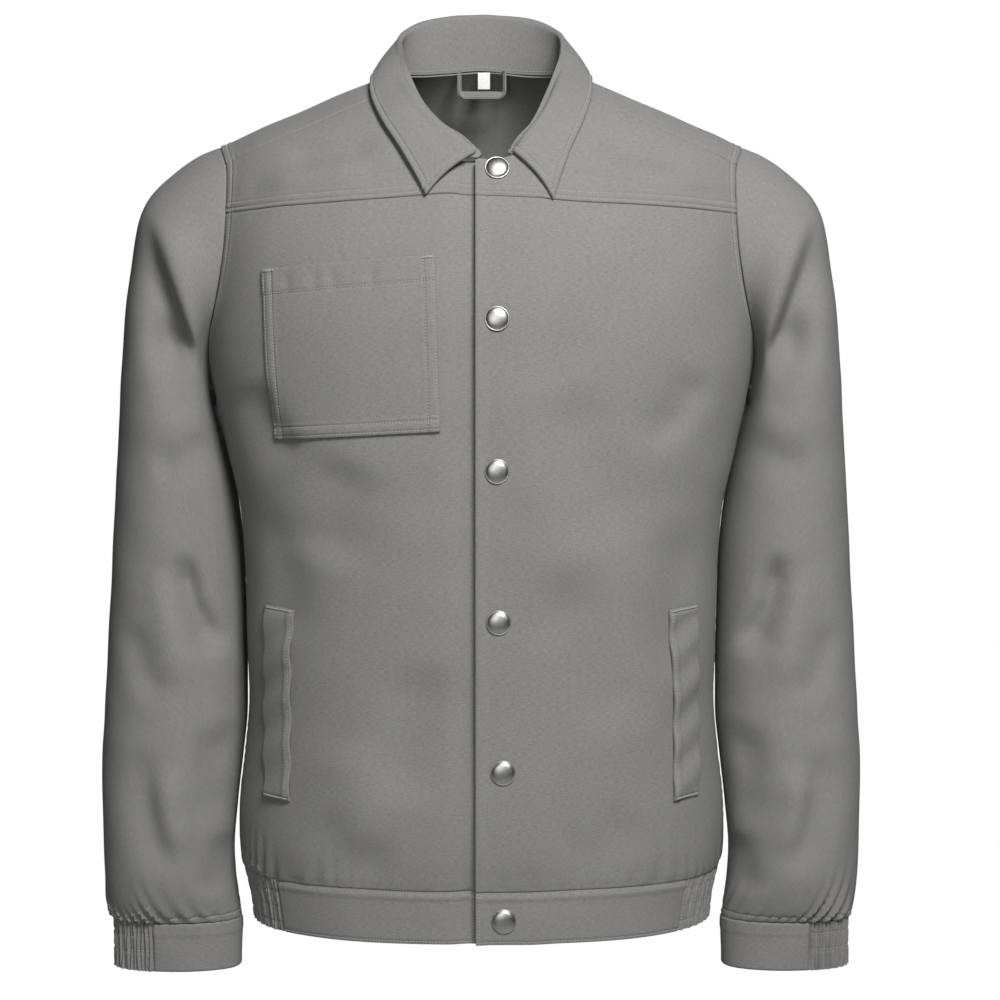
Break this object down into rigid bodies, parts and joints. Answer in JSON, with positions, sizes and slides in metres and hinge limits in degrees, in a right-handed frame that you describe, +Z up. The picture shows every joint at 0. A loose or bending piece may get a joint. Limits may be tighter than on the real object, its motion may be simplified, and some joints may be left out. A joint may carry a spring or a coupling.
{
  "type": "work jacket",
  "caption": "Waist-length men's work jacket, filled out and hollow: shirt collar, yokes, snap front, chest patch pocket, side welt pockets, elasticated cuffs and waistband.",
  "frame": {"origin": "where the wearer's shoulders carry the jacket: mid-width and mid-depth, level with the place where the shoulder line meets the neck", "axes": "+Z up along the body, -Y out of the chest, +X towards the wearer's left side"},
  "size_m": [0.604, 0.2762, 0.7619],
  "materials": {
    "jacket_cloth": "mid grey cotton-rich canvas, washed, matt",
    "snap_metal": "satin nickel plate",
    "label_white": "smooth white woven tape"
  },
  "bodies": {
    "root": {"back": "jacket_cloth", "chest_pocket": "jacket_cloth", "collar": "jacket_cloth", "cuff_elastic_left": "jacket_cloth", "cuff_elastic_right": "jacket_cloth", "cuff_plain_left": "jacket_cloth", "cuff_plain_right": "jacket_cloth", "front_left": "jacket_cloth", "front_right": "jacket_cloth", "front_yoke_left": "jacket_cloth", "front_yoke_right": "jacket_cloth", "hanging_loop": "jacket_cloth", "pocket_welt_left": "jacket_cloth", "pocket_welt_right": "jacket_cloth", "size_label_blank": "label_white", "sleeve_left": "jacket_cloth", "sleeve_right": "jacket_cloth", "snap_back_1": "snap_metal", "snap_back_2": "snap_metal", "snap_back_3": "snap_metal", "snap_back_4": "snap_metal", "snap_back_5": "snap_metal", "snap_back_6": "snap_metal", "snap_cap_1": "snap_metal", "snap_cap_2": "snap_metal", "snap_cap_3": "snap_metal", "snap_cap_4": "snap_metal", "snap_cap_5": "snap_metal", "snap_cap_6": "snap_metal", "waistband_back": "jacket_cloth", "waistband_elastic_left": "jacket_cloth", "waistband_elastic_right": "jacket_cloth", "waistband_front_left": "jacket_cloth", "waistband_front_right": "jacket_cloth"}
  },
  "joints": []
}
